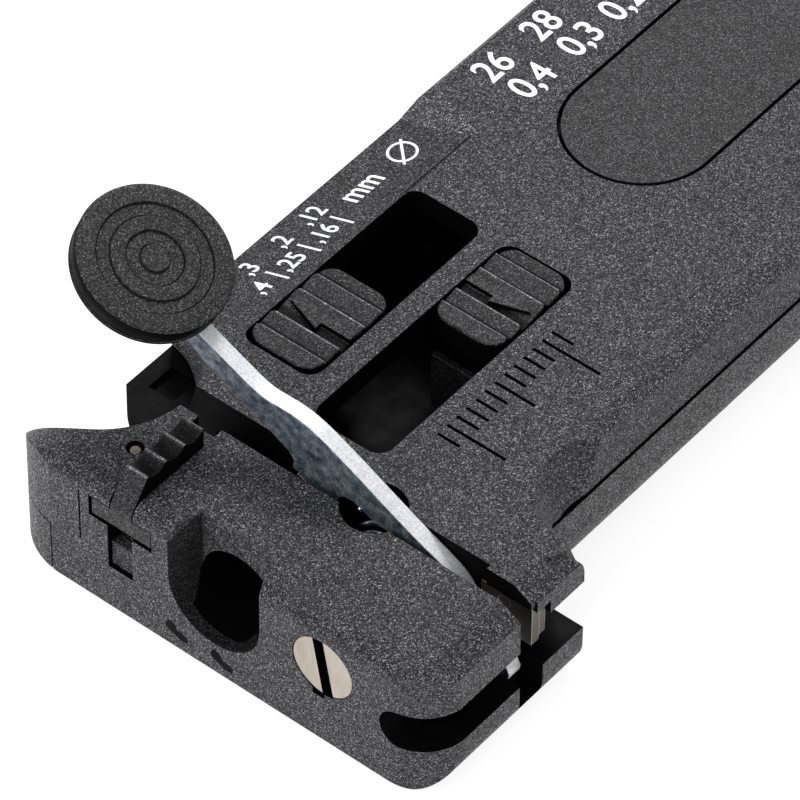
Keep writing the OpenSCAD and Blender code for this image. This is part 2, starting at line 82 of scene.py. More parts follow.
def smooth(low, high, value):
    t = min(1.0, max(0.0, (value - low) / (high - low)))
    return t * t * (3 - 2 * t)


# ---- Camera, lights and floor ----

def make_camera():
    azimuth, elevation, roll = (math.radians(a) for a in (38.845, 46.74, 0.612))
    back = Vector((math.sin(azimuth) * math.cos(elevation),
                   -math.cos(azimuth) * math.cos(elevation), math.sin(elevation)))
    right = Vector((math.cos(azimuth), math.sin(azimuth), 0))
    up = back.cross(right)
    x_axis = right * math.cos(roll) + up * math.sin(roll)
    y_axis = up * math.cos(roll) - right * math.sin(roll)
    turn = Matrix((x_axis, y_axis, back)).transposed().to_4x4()
    data = bpy.data.cameras.new("camera")
    data.sensor_width = 36
    data.lens = 305.58
    data.clip_start = 0.02
    data.clip_end = 5
    camera = bpy.data.objects.new("camera", data)
    bpy.context.scene.collection.objects.link(camera)
    camera.matrix_world = Matrix.Translation(P(193.07, -219.83, 336.25)) @ turn
    bpy.context.scene.camera = camera


def soft_light(name, place, aim, size, power):
    data = bpy.data.lights.new(name, "AREA")
    data.shape = "DISK"
    data.size = size
    data.energy = power
    light = bpy.data.objects.new(name, data)
    bpy.context.scene.collection.objects.link(light)
    light.location = place
    light.rotation_euler = (Vector(aim) - Vector(place)).to_track_quat("-Z", "Y").to_euler()


def make_studio():
    world = bpy.data.worlds.new("studio")
    bpy.context.scene.world = world
    world.use_nodes = True
    background = world.node_tree.nodes["Background"]
    background.inputs["Color"].default_value = (1.0, 1.0, 1.0, 1)
    background.inputs["Strength"].default_value = 0.62
    soft_light("key", (-0.22, 0.4, 0.5), (0, -0.02, 0), 0.25, 3.2)
    soft_light("fill", (0.12, -0.5, 0.35), (0, -0.03, 0), 0.5, 0.45)
    soft_light("rim", (-0.28, -0.46, 0.33), (0, -0.04, 0), 0.2, 1.0)
    view = bpy.context.scene.view_settings
    view.view_transform = "Standard"
    view.look = "None"

    half = 2.5
    mesh = bpy.data.meshes.new("floor")
    mesh.from_pydata([(-half, -half, 0), (half, -half, 0), (half, half, 0), (-half, half, 0)],
                     [], [(0, 1, 2, 3)])
    floor = bpy.data.objects.new("floor", mesh)
    bpy.context.scene.collection.objects.link(floor)
    floor.location.z = -0.0002
    paper = bpy.data.materials.new("paper")
    paper.use_nodes = True
    shader = paper.node_tree.nodes["Principled BSDF"]
    shader.inputs["Base Color"].default_value = (0.4, 0.4, 0.4, 1)
    shader.inputs["Roughness"].default_value = 0.9
    shader.inputs["Specular IOR Level"].default_value = 0.1
    shader.inputs["Emission Color"].default_value = (1, 1, 1, 1)
    shader.inputs["Emission Strength"].default_value = 0.82
    mesh.materials.append(paper)


# ---- Materials ----

class Nodes:
    """A short way to add and link shader nodes."""

    def __init__(self, name):
        self.material = bpy.data.materials.new(name)
        self.material.use_nodes = True
        self.tree = self.material.node_tree
        self.shader = self.tree.nodes["Principled BSDF"]

    def add(self, kind, **settings):
        node = self.tree.nodes.new(kind)
        for key, value in settings.items():
            if hasattr(node, key):
                setattr(node, key, value)
            else:
                node.inputs[key.replace("_", " ")].default_value = value
        return node

    def link(self, source, target):
        self.tree.links.new(source, target)

    def textured(self, kind, **settings):
        """A texture node that reads the object's own coordinates."""
        if not hasattr(self, "place"):
            self.place = self.add("ShaderNodeTexCoord").outputs["Object"]
        node = self.add(kind, **settings)
        self.link(self.place, node.inputs["Vector"])
        return node

    def noise(self, scale, detail=2.0, roughness=0.5):
        return self.textured("ShaderNodeTexNoise", Scale=scale, Detail=detail,
                             Roughness=roughness).outputs["Fac"]

    def cells(self, scale):
        """Small random cells, each with its own tone."""
        return self.textured("ShaderNodeTexVoronoi", Scale=scale).outputs["Color"]

    def corners(self, reach):
        """Painted shade that gathers where surfaces close in on each other."""
        node = self.add("ShaderNodeAmbientOcclusion", samples=8, Distance=reach)
        return self.ramp(node.outputs["AO"], (0.3, (0.2, 0.2, 0.2)), (0.85, (1, 1, 1)))

    def ramp(self, value, *stops):
        node = self.add("ShaderNodeValToRGB")
        elements = node.color_ramp.elements
        while len(elements) < len(stops):
            elements.new(0.5)
        for element, (at, color) in zip(elements, stops):
            element.position = at
            element.color = (*color, 1) if len(color) == 3 else color
        self.link(value, node.inputs["Fac"])
        return node.outputs["Color"]

    def mix(self, blend, amount, first, second):
        node = self.add("ShaderNodeMix", data_type="RGBA", blend_type=blend)
        if isinstance(amount, float):
            node.inputs[0].default_value = amount
        else:
            self.link(amount, node.inputs[0])
        self.link(first, node.inputs[6])
        self.link(second, node.inputs[7])
        return node.outputs[2]

    def edges(self, radius):
        """A normal rounded over the edges, and a mask that is 1 on them."""
        bevel = self.add("ShaderNodeBevel", samples=6)
        bevel.inputs["Radius"].default_value = radius
        geometry = self.add("ShaderNodeNewGeometry")
        dot = self.add("ShaderNodeVectorMath", operation="DOT_PRODUCT")
        self.link(bevel.outputs["Normal"], dot.inputs[0])
        self.link(geometry.outputs["Normal"], dot.inputs[1])
        mask = self.ramp(dot.outputs["Value"], (0.72, (1, 1, 1)), (0.985, (0, 0, 0)))
        return bevel.outputs["Normal"], mask

    def bump(self, height, strength, distance, normal=None):
        node = self.add("ShaderNodeBump")
        node.inputs["Strength"].default_value = strength
        node.inputs["Distance"].default_value = distance
        self.link(height, node.inputs["Height"])
        if normal:
            self.link(normal, node.inputs["Normal"])
        return node.outputs["Normal"]


def grey(value, blue=0.0):
    return (value * (1 - blue * 0.4), value * (1 - blue * 0.5), value * (1 + blue))


def moulded(name, tone, grain=14000, relief=0.00008, rough=0.45, edge=0.05, contrast=1.0,
            edge_width=0.0001, blue=0.06, shine=0.24):
    """Spark-eroded black plastic: dark pits and bright flecks, with lighter edges that are partly
    wear and partly painted highlight.
    """
    n = Nodes(name)
    normal, edge_wear_and_highlight = n.edges(edge_width)
    grains = n.cells(grain)
    relief_noise = n.noise(grain * 0.9, 1.0, 0.6)
    clouds = n.noise(160, 2.0, 0.5)
    # The brightest cells are painted glints, far lighter than the plastic's own tone
    pit, fleck, glint = (grey(tone * (1 + (times - 1) * contrast), blue)
                         for times in (0.0, 3.4, 15.0))
    color = n.ramp(grains, (0.27, pit), (0.5, grey(tone, blue)), (0.75, fleck), (0.93, glint))
    shade = n.ramp(clouds, (0.3, (0.88, 0.88, 0.88)), (0.7, (1, 1, 1)))
    color = n.mix("MULTIPLY", 1.0, color, shade)
    # Painted shade: the ambient occlusion darkens creases and corners
    color = n.mix("MULTIPLY", 1.0, color, n.corners(0.0008))
    # Lighter edges: partly wear, partly painted highlight
    wear_and_highlight_low, wear_and_highlight_high = grey(tone + edge * 0.4, blue), grey(tone + edge * 2.2, blue)
    light = n.ramp(grains, (0.3, wear_and_highlight_low), (0.7, wear_and_highlight_high))
    color = n.mix("MIX", edge_wear_and_highlight, color, light)
    n.link(color, n.shader.inputs["Base Color"])
    n.link(n.ramp(grains, (0.4, (rough + 0.15,) * 3), (0.75, (rough - 0.2,) * 3)),
           n.shader.inputs["Roughness"])
    n.link(n.bump(relief_noise, 1.0, relief, normal), n.shader.inputs["Normal"])
    n.shader.inputs["Specular IOR Level"].default_value = shine
    return n.material


def shade_black(name, tone):
    """Painted shade: a dark, even, little-grained colour for faces inside openings, slots and
    bores.
    """
    n = Nodes(name)
    normal, edge_wear_and_highlight = n.edges(0.00005)
    clouds = n.noise(700, 3.0, 0.6)
    color = n.ramp(clouds, (0.3, grey(tone * 0.7, 0.1)), (0.7, grey(tone * 1.3, 0.1)))
    # Slightly lighter edges: partly wear, partly painted highlight
    light = n.ramp(clouds, (0.3, grey(tone + 0.01, 0.1)), (0.7, grey(tone + 0.02, 0.1)))
    n.link(n.mix("MIX", edge_wear_and_highlight, color, light), n.shader.inputs["Base Color"])
    n.link(n.ramp(clouds, (0.3, (0.62,) * 3), (0.7, (0.48,) * 3)), n.shader.inputs["Roughness"])
    n.link(n.bump(clouds, 0.4, 0.00001, normal), n.shader.inputs["Normal"])
    n.shader.inputs["Specular IOR Level"].default_value = 0.04
    return n.material


def metal(name, dark, light, rough=(0.25, 0.45), scale=900, relief=0.00001, edge=(0.9, 0.9, 0.9),
          edge_width=0.00008, stretch=None, metallic=1.0, fine_low=0.78):
    """Plated or ground metal: mottled tone, fine marks and bright edges that are partly wear and
    partly painted highlight.
    """
    n = Nodes(name)
    normal, edge_wear_and_highlight = n.edges(edge_width)
    if stretch:
        mapping = n.add("ShaderNodeMapping")
        mapping.inputs["Scale"].default_value = stretch
        n.link(n.add("ShaderNodeTexCoord").outputs["Object"], mapping.inputs["Vector"])
        n.place = mapping.outputs["Vector"]
    marks = n.noise(scale, 4.0, 0.6)
    clouds = n.noise(scale * 0.18, 3.0, 0.55)
    color = n.ramp(clouds, (0.3, dark), (0.68, light))
    fine = n.ramp(marks, (0.35, (fine_low,) * 3), (0.65, (1, 1, 1)))
    color = n.mix("MULTIPLY", 1.0, color, fine)
    # Bright edges: partly wear, partly painted highlight
    bright = n.ramp(marks, (0.0, edge), (1.0, edge))
    color = n.mix("MIX", edge_wear_and_highlight, color, bright)
    n.link(color, n.shader.inputs["Base Color"])
    n.link(n.ramp(marks, (0.3, (rough[0],) * 3), (0.7, (rough[1],) * 3)),
           n.shader.inputs["Roughness"])
    n.link(n.bump(marks, 0.5, relief, normal), n.shader.inputs["Normal"])
    n.shader.inputs["Metallic"].default_value = metallic
    return n.material


def ink(name):
    """White pad print, a little uneven."""
    n = Nodes(name)
    spots = n.noise(2600, 2.0, 0.6)
    n.link(n.ramp(spots, (0.25, (0.74, 0.77, 0.82)), (0.5, (0.93, 0.95, 0.98))),
           n.shader.inputs["Base Color"])
    n.link(n.ramp(spots, (0.3, (0.65,) * 3), (0.7, (0.5,) * 3)), n.shader.inputs["Roughness"])
    return n.material


MATERIALS = {
    "black_nylon": moulded("black_nylon", 0.026),
    "coal_nylon": moulded("coal_nylon", 0.014, grain=15000, relief=0.00005, contrast=0.9,
                          edge=0.09),
    "button_nylon": moulded("button_nylon", 0.016, grain=15000, relief=0.00005, contrast=0.85,
                            blue=0.03, edge=0.03),
    "zinc_steel": metal("zinc_steel", (0.05, 0.08, 0.12), (0.42, 0.48, 0.54),
                        rough=(0.3, 0.5), scale=8000, fine_low=0.35, edge=(0.8, 0.84, 0.88),
                        metallic=0.6),
    "blade_steel": metal("blade_steel", (0.05, 0.043, 0.033), (0.10, 0.088, 0.07),
                         rough=(0.35, 0.5), edge=(0.6, 0.58, 0.55)),
    "spring_steel": metal("spring_steel", (0.40, 0.48, 0.60), (0.66, 0.73, 0.82),
                          rough=(0.12, 0.25), scale=1500),
    "nickel": metal("nickel", (0.42, 0.365, 0.31), (0.56, 0.50, 0.44), rough=(0.24, 0.4),
                    scale=1400, stretch=(1, 0.1, 0.25), edge=(0.8, 0.76, 0.7)),
    "insert_brass": metal("insert_brass", (0.50, 0.36, 0.15), (0.72, 0.55, 0.26)),
}
WHITE_INK = ink("white_ink")
# Painted shade for openings, gaps and hidden sides
INNER_SHADE = shade_black("inner_painted_shade", 0.0022)
# Painted shade inside the wire entry's funnel
FUNNEL_SHADE = moulded("nylon_funnel_shade", 0.009, contrast=0.8, shine=0.18)
# Painted shade on the sloped scale field, for how its tilt takes the light
FIELD_SHADE = moulded("nylon_field_shade", 0.017, contrast=1.1)
# Painted highlight on the field's end ramp
RAMP_HIGHLIGHT = moulded("nylon_ramp_highlight", 0.045, contrast=0.8)
SHADE = moulded("coal_shade", 0.004, grain=13500, relief=0.00004, contrast=0.6, edge=0.02,
                shine=0.12)
# Painted highlight on rib crests
RIDGE_HIGHLIGHT = moulded("coal_ridge_highlight", 0.105, grain=13500, relief=0.00004, contrast=0.4, edge=0.15)
# Painted highlight for the lever plate's edges
ZINC_EDGE_HIGHLIGHT = metal("zinc_edge_highlight", (0.80, 0.83, 0.86), (0.92, 0.93, 0.95), rough=(0.45, 0.6),
                  scale=7000, fine_low=0.7, metallic=0.45, edge_width=0.00003)
# Painted shade: a darker copy of the zinc
ZINC_SHADE = metal("zinc_painted_shade", (0.02, 0.03, 0.045), (0.10, 0.12, 0.14), rough=(0.4, 0.6),
                  scale=8000, fine_low=0.4, metallic=0.5)

slot_of = {part["node"]: part["material_slot"] for part in frame["record"]["subparts"]}
for node_name, cad_object in frame["nodes"].items():
    cad_object.data.materials.clear()
    cad_object.data.materials.append(MATERIALS[slot_of[node_name]])
# Painted shade: the moving blade and its rivets get the darker zinc
for node_name in ("moving_blade", "blade_rivets"):
    frame["nodes"][node_name].data.materials[0] = ZINC_SHADE


# ---- Painted shade: openings and gaps of the mouldings get a smooth, dark colour ----

GOLDEN_TURN = 2.39996
RAY_LIFT = 0.00002
RAY_REACH = 0.03


def shade_openings(names, limit=0.55, rays=18):
    """Gives a face the painted shade material when most directions in front of it are blocked."""
    corners, faces = [], []
    for name, obj in frame["nodes"].items():
        if name in frame["record"]["behaviour"]["bodies"]["lever_arm"]:
            continue
        start = len(corners)
        corners += [obj.matrix_world @ v.co for v in obj.data.vertices]
        faces += [[start + i for i in face.vertices] for face in obj.data.polygons]
    tree = BVHTree.FromPolygons(corners, faces)
    spread = []
    for k in range(rays):
        r, turn = math.sqrt((k + 0.5) / rays), GOLDEN_TURN * k
        spread.append(Vector((r * math.cos(turn), r * math.sin(turn), math.sqrt(1 - r * r))))
    for name in names:
        obj = frame["nodes"][name]
        obj.data.materials.append(INNER_SHADE)
        sums, keys = {}, []
        for face in obj.data.polygons:
            normal = (obj.matrix_world.to_3x3() @ face.normal).normalized()
            centre = obj.matrix_world @ face.center
            key = (round(normal.x, 1), round(normal.y, 1), round(normal.z, 1),
                   round(centre.dot(normal) / MM, 1))
            turn = normal.to_track_quat("Z", "Y")
            points = [centre] + [centre.lerp(obj.matrix_world @ obj.data.vertices[i].co, 0.6)
                                 for i in face.vertices]
            free = sum(1 for p in points for d in spread
                       if tree.ray_cast(p + normal * RAY_LIFT, turn @ d, RAY_REACH)[0] is None)
            total = sums.setdefault(key, [0.0, 0.0])
            total[0] += face.area * free / (len(points) * rays)
            total[1] += face.area
            keys.append(key)
        for face, key in zip(obj.data.polygons, keys):
            total = sums[key]
            face.material_index = 1 if total[1] > 0 and total[0] / total[1] < limit else 0


def repaint(obj, material, chosen):
    """Gives the material to the faces that the test picks, in tool millimetres."""
    obj.data.materials.append(material)
    for face in obj.data.polygons:
        if chosen(face.center / MM - OFFSET, face.normal):
            face.material_index = len(obj.data.materials) - 1


# Painted shade: the chosen faces get the dark inner colour
def paint_shade(obj, blocked):
    repaint(obj, INNER_SHADE, blocked)


# ---- Mesh tools ----

def piece(name, bm, body, material, nodes=(), bevel=0.0, auto_smooth=30):
    """Turns a bmesh in tool millimetres into an object that rides on a CAD body."""
    for v in bm.verts:
        v.co = P(*v.co)
    bmesh.ops.recalc_face_normals(bm, faces=bm.faces)
    mesh = bpy.data.meshes.new(name)
    bm.to_mesh(mesh)
    bm.free()
    mesh.materials.append(material)
    obj = bpy.data.objects.new(name, mesh)
    bpy.context.scene.collection.objects.link(obj)
    if bevel:
        cut = obj.modifiers.new("bevel", "BEVEL")
        cut.width = bevel * MM
        cut.segments = 2
        cut.limit_method = "ANGLE"
        cut.angle_limit = math.radians(25)
    mesh.shade_smooth()
    mesh.set_sharp_from_angle(angle=math.radians(auto_smooth))
    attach(obj, body)
    if nodes:
        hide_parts(*nodes)
    return obj


def prism(bm, outline, place_low, place_high):
    """A closed outline joined between two placements of it."""
    low = [bm.verts.new(place_low(*p)) for p in outline]
    high = [bm.verts.new(place_high(*p)) for p in outline]
    count = len(outline)
    bm.faces.new(low)
    bm.faces.new(high)
    for i in range(count):
        j = (i + 1) % count
        bm.faces.new((low[i], low[j], high[j], high[i]))


def box_mesh(bm, x, y, z):
    prism(bm, [(x[0], y[0]), (x[1], y[0]), (x[1], y[1]), (x[0], y[1])],
          lambda a, b: (a, b, z[0]), lambda a, b: (a, b, z[1]))


def curve_through(points, steps, closed=True):
    """Catmull-Rom points through a list of 2D points."""
    out = []
    count = len(points)

    def at(i):
        return Vector(points[i % count if closed else min(count - 1, max(0, i))])

    for i in range(count if closed else count - 1):
        p0, p1, p2, p3 = (at(i + k) for k in (-1, 0, 1, 2))
        for s in range(steps):
            t = s / steps
            out.append(0.5 * ((2 * p1) + (p2 - p0) * t + (2 * p0 - 5 * p1 + 4 * p2 - p3) * t * t
                              + (3 * p1 - p0 - 3 * p2 + p3) * t ** 3))
    if not closed:
        out.append(at(count - 1))
    return out


# ---- Thumb button: turned disc with four stepped rings ----

BUTTON_R = 5.5
BUTTON_X = -26.7
BUTTON_Y = 10.2
BUTTON_TOP = 4.1


def make_button():
    ring_step = 0.14
    profile = [(0.0, -0.02)]
    level = -0.02
    for fraction, change in ((0.187, -ring_step), (0.365, ring_step), (0.565, -ring_step),
                             (0.735, ring_step)):
        r = fraction * BUTTON_R
        low = min(level, level + change) - 0.1
        profile += [(r - 0.06, level), (r - 0.01, low), (r + 0.01, low), (r + 0.06, level + change)]
        level += change
    profile += [(5.2, -0.02), (5.34, -0.05), (5.44, -0.13), (5.48, -0.24), (5.45, -0.9),
                (5.33, -1.5), (5.3, -1.58), (5.4, -1.62), (5.42, -1.72), (5.3, -1.78),
                (4.3, -2.0), (3.9, -2.6), (3.6, -3.7), (0.0, -3.7)]
    sides = 128
    bm = bmesh.new()
    rows = []
    for r, z in profile:
        if r == 0:
            rows.append([bm.verts.new(opened(BUTTON_X, BUTTON_Y, BUTTON_TOP + z))])
            continue
        row = []
        for i in range(sides):
            a = 2 * math.pi * i / sides
            row.append(bm.verts.new(opened(BUTTON_X + r * math.cos(a), BUTTON_Y + r * math.sin(a),
                                           BUTTON_TOP + z)))
        rows.append(row)
    for upper, lower in zip(rows, rows[1:]):
        for i in range(sides):
            j = (i + 1) % sides
            if len(upper) == 1:
                bm.faces.new((upper[0], lower[i], lower[j]))
            elif len(lower) == 1:
                bm.faces.new((upper[i], lower[0], upper[j]))
            else:
                bm.faces.new((upper[i], lower[i], lower[j], upper[j]))
    button = piece("button_turned", bm, "lever_arm", MATERIALS["button_nylon"],
                   ["thumb_button"], auto_smooth=35)
    up = Vector((OPEN_SIN, 0, OPEN_COS))
    # Painted shade on the button's outer wall
    paint_shade(button, lambda at, normal: abs(normal.dot(up)) < 0.55
           and (Vector(at) - opened(BUTTON_X, BUTTON_Y, BUTTON_TOP)).length > 5.2)


# ---- Lever: stamped, zinc-plated plate ----

LEVER_Y = (9.7, 10.95)


def make_lever():
    upper = [(-31, 2.0), (-27, 2.12), (-22, 2.1), (-17.5, 2.1), (-15.6, 2.25), (-14.2, 2.85),
             (-12.8, 3.45), (-11, 3.75), (-8, 3.74), (-5, 3.6), (-2, 3.5), (0.6, 3.5),
             (1.8, 3.38), (2.9, 2.95), (5.6, 1.6), (8.15, 0.28)]
    tip = [(8.55, -0.1), (8.66, -0.5), (8.35, -1.4), (7.4, -2.1)]
    hub = [(2.35 * math.cos(math.radians(a)), 2.35 * math.sin(math.radians(a)))
           for a in range(-60, -211, -10)]
    lower = [(-3.1, 1.85), (-4.2, 1.4), (-5.2, 1.2), (-6.5, 1.18), (-7.2, 0.8), (-7.55, 0.1),
             (-7.6, -0.6), (-7.6, -1.2), (-11.1, -1.2), (-11.35, -0.5), (-12.0, -0.15),
             (-14, -0.05), (-19, 0.0), (-20.5, 0.3), (-22, 0.5), (-31, 0.5)]
    fine = curve_through(upper, 4, closed=False) + [Vector(p) for p in tip + hub + lower]
    bm = bmesh.new()
    prism(bm, [tuple(p) for p in fine],
          lambda x, z: opened(x, LEVER_Y[0], z), lambda x, z: opened(x, LEVER_Y[1], z))
    plate = piece("lever_plate", bm, "lever_arm", MATERIALS["zinc_steel"],
                  ["lever"], bevel=0.09, auto_smooth=40)
    # Painted highlight: the plate's edge faces get a near-white zinc
    plate.data.materials.append(ZINC_EDGE_HIGHLIGHT)
    for face in plate.data.polygons:
        if abs(face.normal.y) < 0.5:
            face.material_index = 1


# ---- Return spring ----

def make_spring():
    mean_r, wire_r, z0, z1, turns = 1.32, 0.22, 1.62, 9.95, 7.5
    x, y = 5.85, 10.1
    steps, sides = 26, 10
    bm = bmesh.new()
    rings = []
    total = int(turns * steps)
    for i in range(total + 1):
        t = i / total
        a = 2 * math.pi * turns * t
        closing = min(smooth(0, 0.12, t), smooth(0, 0.12, 1 - t))
        z = z0 + wire_r + (z1 - z0 - 2 * wire_r) * (t * 0.84 + 0.08 * (smooth(0, 0.12, t)
                                                     + smooth(0.88, 1.0, t)))
        centre = Vector((x + mean_r * math.cos(a), y + mean_r * math.sin(a), z))
        out = Vector((math.cos(a), math.sin(a), 0))
        flat = 0.9 + 0.1 * closing
        rings.append([bm.verts.new(centre + wire_r * flat * (out * math.cos(b)
                                                             + Vector((0, 0, 1)) * math.sin(b)))
                      for b in (2 * math.pi * k / sides for k in range(sides))])
    for first, second in zip(rings, rings[1:]):
        for k in range(sides):
            m = (k + 1) % sides
            bm.faces.new((first[k], first[m], second[m], second[k]))
    bm.faces.new(rings[0])
    bm.faces.new(rings[-1])
    coil = piece("spring_coil", bm, "housing", MATERIALS["spring_steel"],
                 ["return_spring"], auto_smooth=60)
    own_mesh(coil)


# ---- Sliding stops ----

SLIDER_TOP = 11.0
FLANGE_TOP = 8.9
# Ridges along a top of RIB_SPAN, the deep one in front of the arrow, and the arrow's middle
RIB_SPAN = 8.3
DEEP_RIDGE = 2.85
RIDGES = (0.0, 1.42, DEEP_RIDGE, 5.42, 7.1, 8.4)
ARROW_MIDDLE = 4.2
CAP_R = 1.4


def ribbed_height(u, v, length, width, arrow_right):
    """Height of the slider's top, below 0; u runs across from the left, v from the near end."""
    v = v * RIB_SPAN / length
    across = u if arrow_right else width - u
    height = 0.0
    for low, high in zip(RIDGES, RIDGES[1:]):
        if low <= v < high:
            t = (v - low) / (high - low)
            if low == DEEP_RIDGE:
                height = -0.55 * (1 - t) ** 1.3 - 0.03
            elif low > 0:
                height = -0.3 * (1 - t) ** 1.2
            else:
                height = -0.12 * (1 - t)
            # Each rib ends in a small round corner on the side that the arrow points to
            near, side = min(v - low, high - v), width - across
            if near < 0.45 and side < 0.45 and 0.5 < v < 7.8:
                out = math.hypot(0.45 - near, 0.45 - side) - 0.45
                height -= 0.7 * smooth(0.0, 0.1, out)
    middle = abs(v - ARROW_MIDDLE)
    shaft = middle < 0.37 and across < 0.45 * width
    back, tip = 0.42 * width, 0.94 * width
    head = back < across < tip and middle < 0.98 * (tip - across) / (tip - back)
    if shaft or head:
        height = max(height, -0.02)
    return height


def rib_painted_light(v, height):
    """1 for the painted highlight on a rib's crest, 2 for the painted shade on the foot behind it,
    0 elsewhere.
    """
    if height > -0.025 and abs(v - ARROW_MIDDLE) < 1.0:
        return 0
    for crest in RIDGES[1:-1]:
        if crest - 0.12 < v <= crest:
            return 1
        if crest < v < crest + (0.8 if crest == DEEP_RIDGE else 0.3):
            return 2
    return 0


def slider_cap(bm, x, y, arrow_right):
    corner, round_edge = CAP_R, 0.14
    length, width = y[1] - y[0], x[1] - x[0]
    columns, rows = 96, 140
    grid = []
    for j in range(rows + 1):
        v = length * j / rows
        near = min(v, length - v)
        inset = 0.0
        if near < corner:
            inset = corner - math.sqrt(max(0.0, corner ** 2 - (corner - near) ** 2))
        row = []
        for i in range(columns + 1):
            u = inset + (width - 2 * inset) * i / columns
            side = min(u, width - u)
            edge = min(near, side)
            if near < corner and side < corner:
                edge = corner - math.hypot(corner - near, corner - side)
            edge = max(0.0, edge)
            z = SLIDER_TOP + ribbed_height(u, v, length, width, arrow_right)
            if edge < round_edge:
                z -= round_edge - math.sqrt(round_edge ** 2 - (round_edge - edge) ** 2)
            row.append(bm.verts.new((x[0] + u, y[0] + v, z)))
        grid.append(row)
    for j in range(rows):
        for i in range(columns):
            bm.faces.new((grid[j][i], grid[j][i + 1], grid[j + 1][i + 1], grid[j + 1][i]))
    rim = (grid[0] + [row[-1] for row in grid[1:-1]] + grid[-1][::-1]
           + [row[0] for row in grid[-2:0:-1]])
    foot = [bm.verts.new((v.co.x, v.co.y, FLANGE_TOP)) for v in rim]
    for i in range(len(rim)):
        j = (i + 1) % len(rim)
        bm.faces.new((rim[i], rim[j], foot[j], foot[i]))
    bm.faces.new(foot)


def make_sliders():
    for name, body, node, x, y, stem, right in (
            ("length", "length_stop", "length_slider", (-2.6, 3.1), (26.1, 34.4),
             ((-2.3, 2.9), (26.6, 33.4), (2.0, 7.0)), True),
            ("diameter", "diameter_stop", "diameter_slider", (-10.75, -4.93), (16.65, 25.35),
             ((-8.28, -6.36), (18.0, 24.0), (6.71, 7.0)), False)):
        bm = bmesh.new()
        slider_cap(bm, x, y, right)
        cap = piece(name + "_cap", bm, body, MATERIALS["coal_nylon"], [node],
                    auto_smooth=28)
        cap.data.materials.append(RIDGE_HIGHLIGHT)
        cap.data.materials.append(SHADE)
        # Painted highlight on the rib crests and painted shade on their feet
        for face in cap.data.polygons:
            at = (face.center / MM - OFFSET - Vector((x[0], y[0], 0))) * RIB_SPAN / (y[1] - y[0])
            if face.normal.z > 0.35:
                face.material_index = rib_painted_light(at.y, face.center.z / MM - SLIDER_TOP)
        # Painted shade on the cap's sides; the flange and stem below are drawn in it too
        paint_shade(cap, lambda at, normal: abs(normal.z) < 0.35)
        bm = bmesh.new()
        box_mesh(bm, (x[0] - 1, x[1] + 1), (y[0] + 0.4, y[1] - 0.4), (7.0, FLANGE_TOP))
        piece(name + "_flange", bm, body, INNER_SHADE, bevel=0.15)
        bm = bmesh.new()
        box_mesh(bm, *stem)
        piece(name + "_stem", bm, body, INNER_SHADE, bevel=0.1)


# ---- Lock slider ----

LOCK_RIBS = (1.75, 3.6, 5.45, 7.3)
LOCK_TOP = 12.48


def lock_top(y):
    """The slider's top line: a steep front face, then three scoops between four ridges."""
    if y < LOCK_RIBS[0]:
        t = y / LOCK_RIBS[0]
        return 10.0 + 2.42 * t ** 0.85 + 0.06 * smooth(0.85, 1.0, t)
    for low, high in zip(LOCK_RIBS, LOCK_RIBS[1:]):
        if y <= high:
            t = max(0.0, min(1.0, (y - low - 0.07) / (high - low - 0.14)))
            return LOCK_TOP - 0.46 * math.sin(math.pi * t) ** 0.75
    return LOCK_TOP


def make_lock_slider():
    x = (-8.05, -6.25)
    end, underside, steps = LOCK_RIBS[-1], 7.85, 146
    outline = [(0.0, 9.6), (2.4, 9.6), (2.4, underside), (end, underside)]
    outline += [(end * (1 - i / steps), lock_top(end * (1 - i / steps))) for i in range(steps + 1)]
    bm = bmesh.new()
    prism(bm, outline, lambda y, z: (x[0], y, z), lambda y, z: (x[1], y, z))
    ribbed = piece("lock_slider_ribbed", bm, "lock", MATERIALS["coal_nylon"],
                   ["lock_slider"], bevel=0.05, auto_smooth=35)
    ribbed.data.materials.append(RIDGE_HIGHLIGHT)
    ribbed.data.materials.append(SHADE)
    # Painted highlight on the crests, painted shade in the scoops
    for face in ribbed.data.polygons:
        at = face.center / MM - OFFSET
        if face.normal.z > 0.2 and at.y > LOCK_RIBS[0] - 0.1:
            crest = min(abs(at.y - rib) for rib in LOCK_RIBS)
            face.material_index = 1 if crest < 0.09 else 2 if crest > 0.2 else 0
    # Painted shade on the slider's sides
    paint_shade(ribbed, lambda at, normal: abs(normal.x) > 0.8)
    bm = bmesh.new()
    box_mesh(bm, (-9.7, -4.62), (0.0, 2.4), (8.15, 9.6))
    foot = piece("lock_foot", bm, "lock", MATERIALS["coal_nylon"], bevel=0.06)
    # Painted shade on the foot's hidden faces
    paint_shade(foot, lambda at, normal: normal.y > -0.5)
    bm = bmesh.new()
    box_mesh(bm, x, (6.3, 8.9), (9.45, 10.05))
    piece("lock_tongue", bm, "lock", MATERIALS["coal_nylon"], bevel=0.05)


def make_gate_marks():
    """Two shallow comma-shaped marks that the mould leaves low on the front face, drawn as thin
    sheets in the painted shade colour.
    """
    outline = curve_through([(-0.5, 0.05), (-0.15, 0.5), (0.35, 0.3), (0.5, -0.05), (1.25, -0.25),
                             (1.35, -0.75), (0.75, -0.8), (0.05, -0.5), (-0.4, -0.3)], 5)
    for name, x, z in (("gate_mark_left", -3.0, 1.75), ("gate_mark_right", 0.85, 1.6)):
        bm = bmesh.new()
        prism(bm, [tuple(p) for p in outline], lambda a, b: (x + a, 0.03, z + b),
              lambda a, b: (x + a, -0.012, z + b))
        piece(name, bm, "housing", INNER_SHADE)


# ---- Printed scale numbers ----

SLOPE = math.radians(9.5)
SLOPE_X = -10.8
FIELD_TOP = TOP_Z - 0.15
PRINT_LIFT = 0.012
PRINT_SINK = -0.03


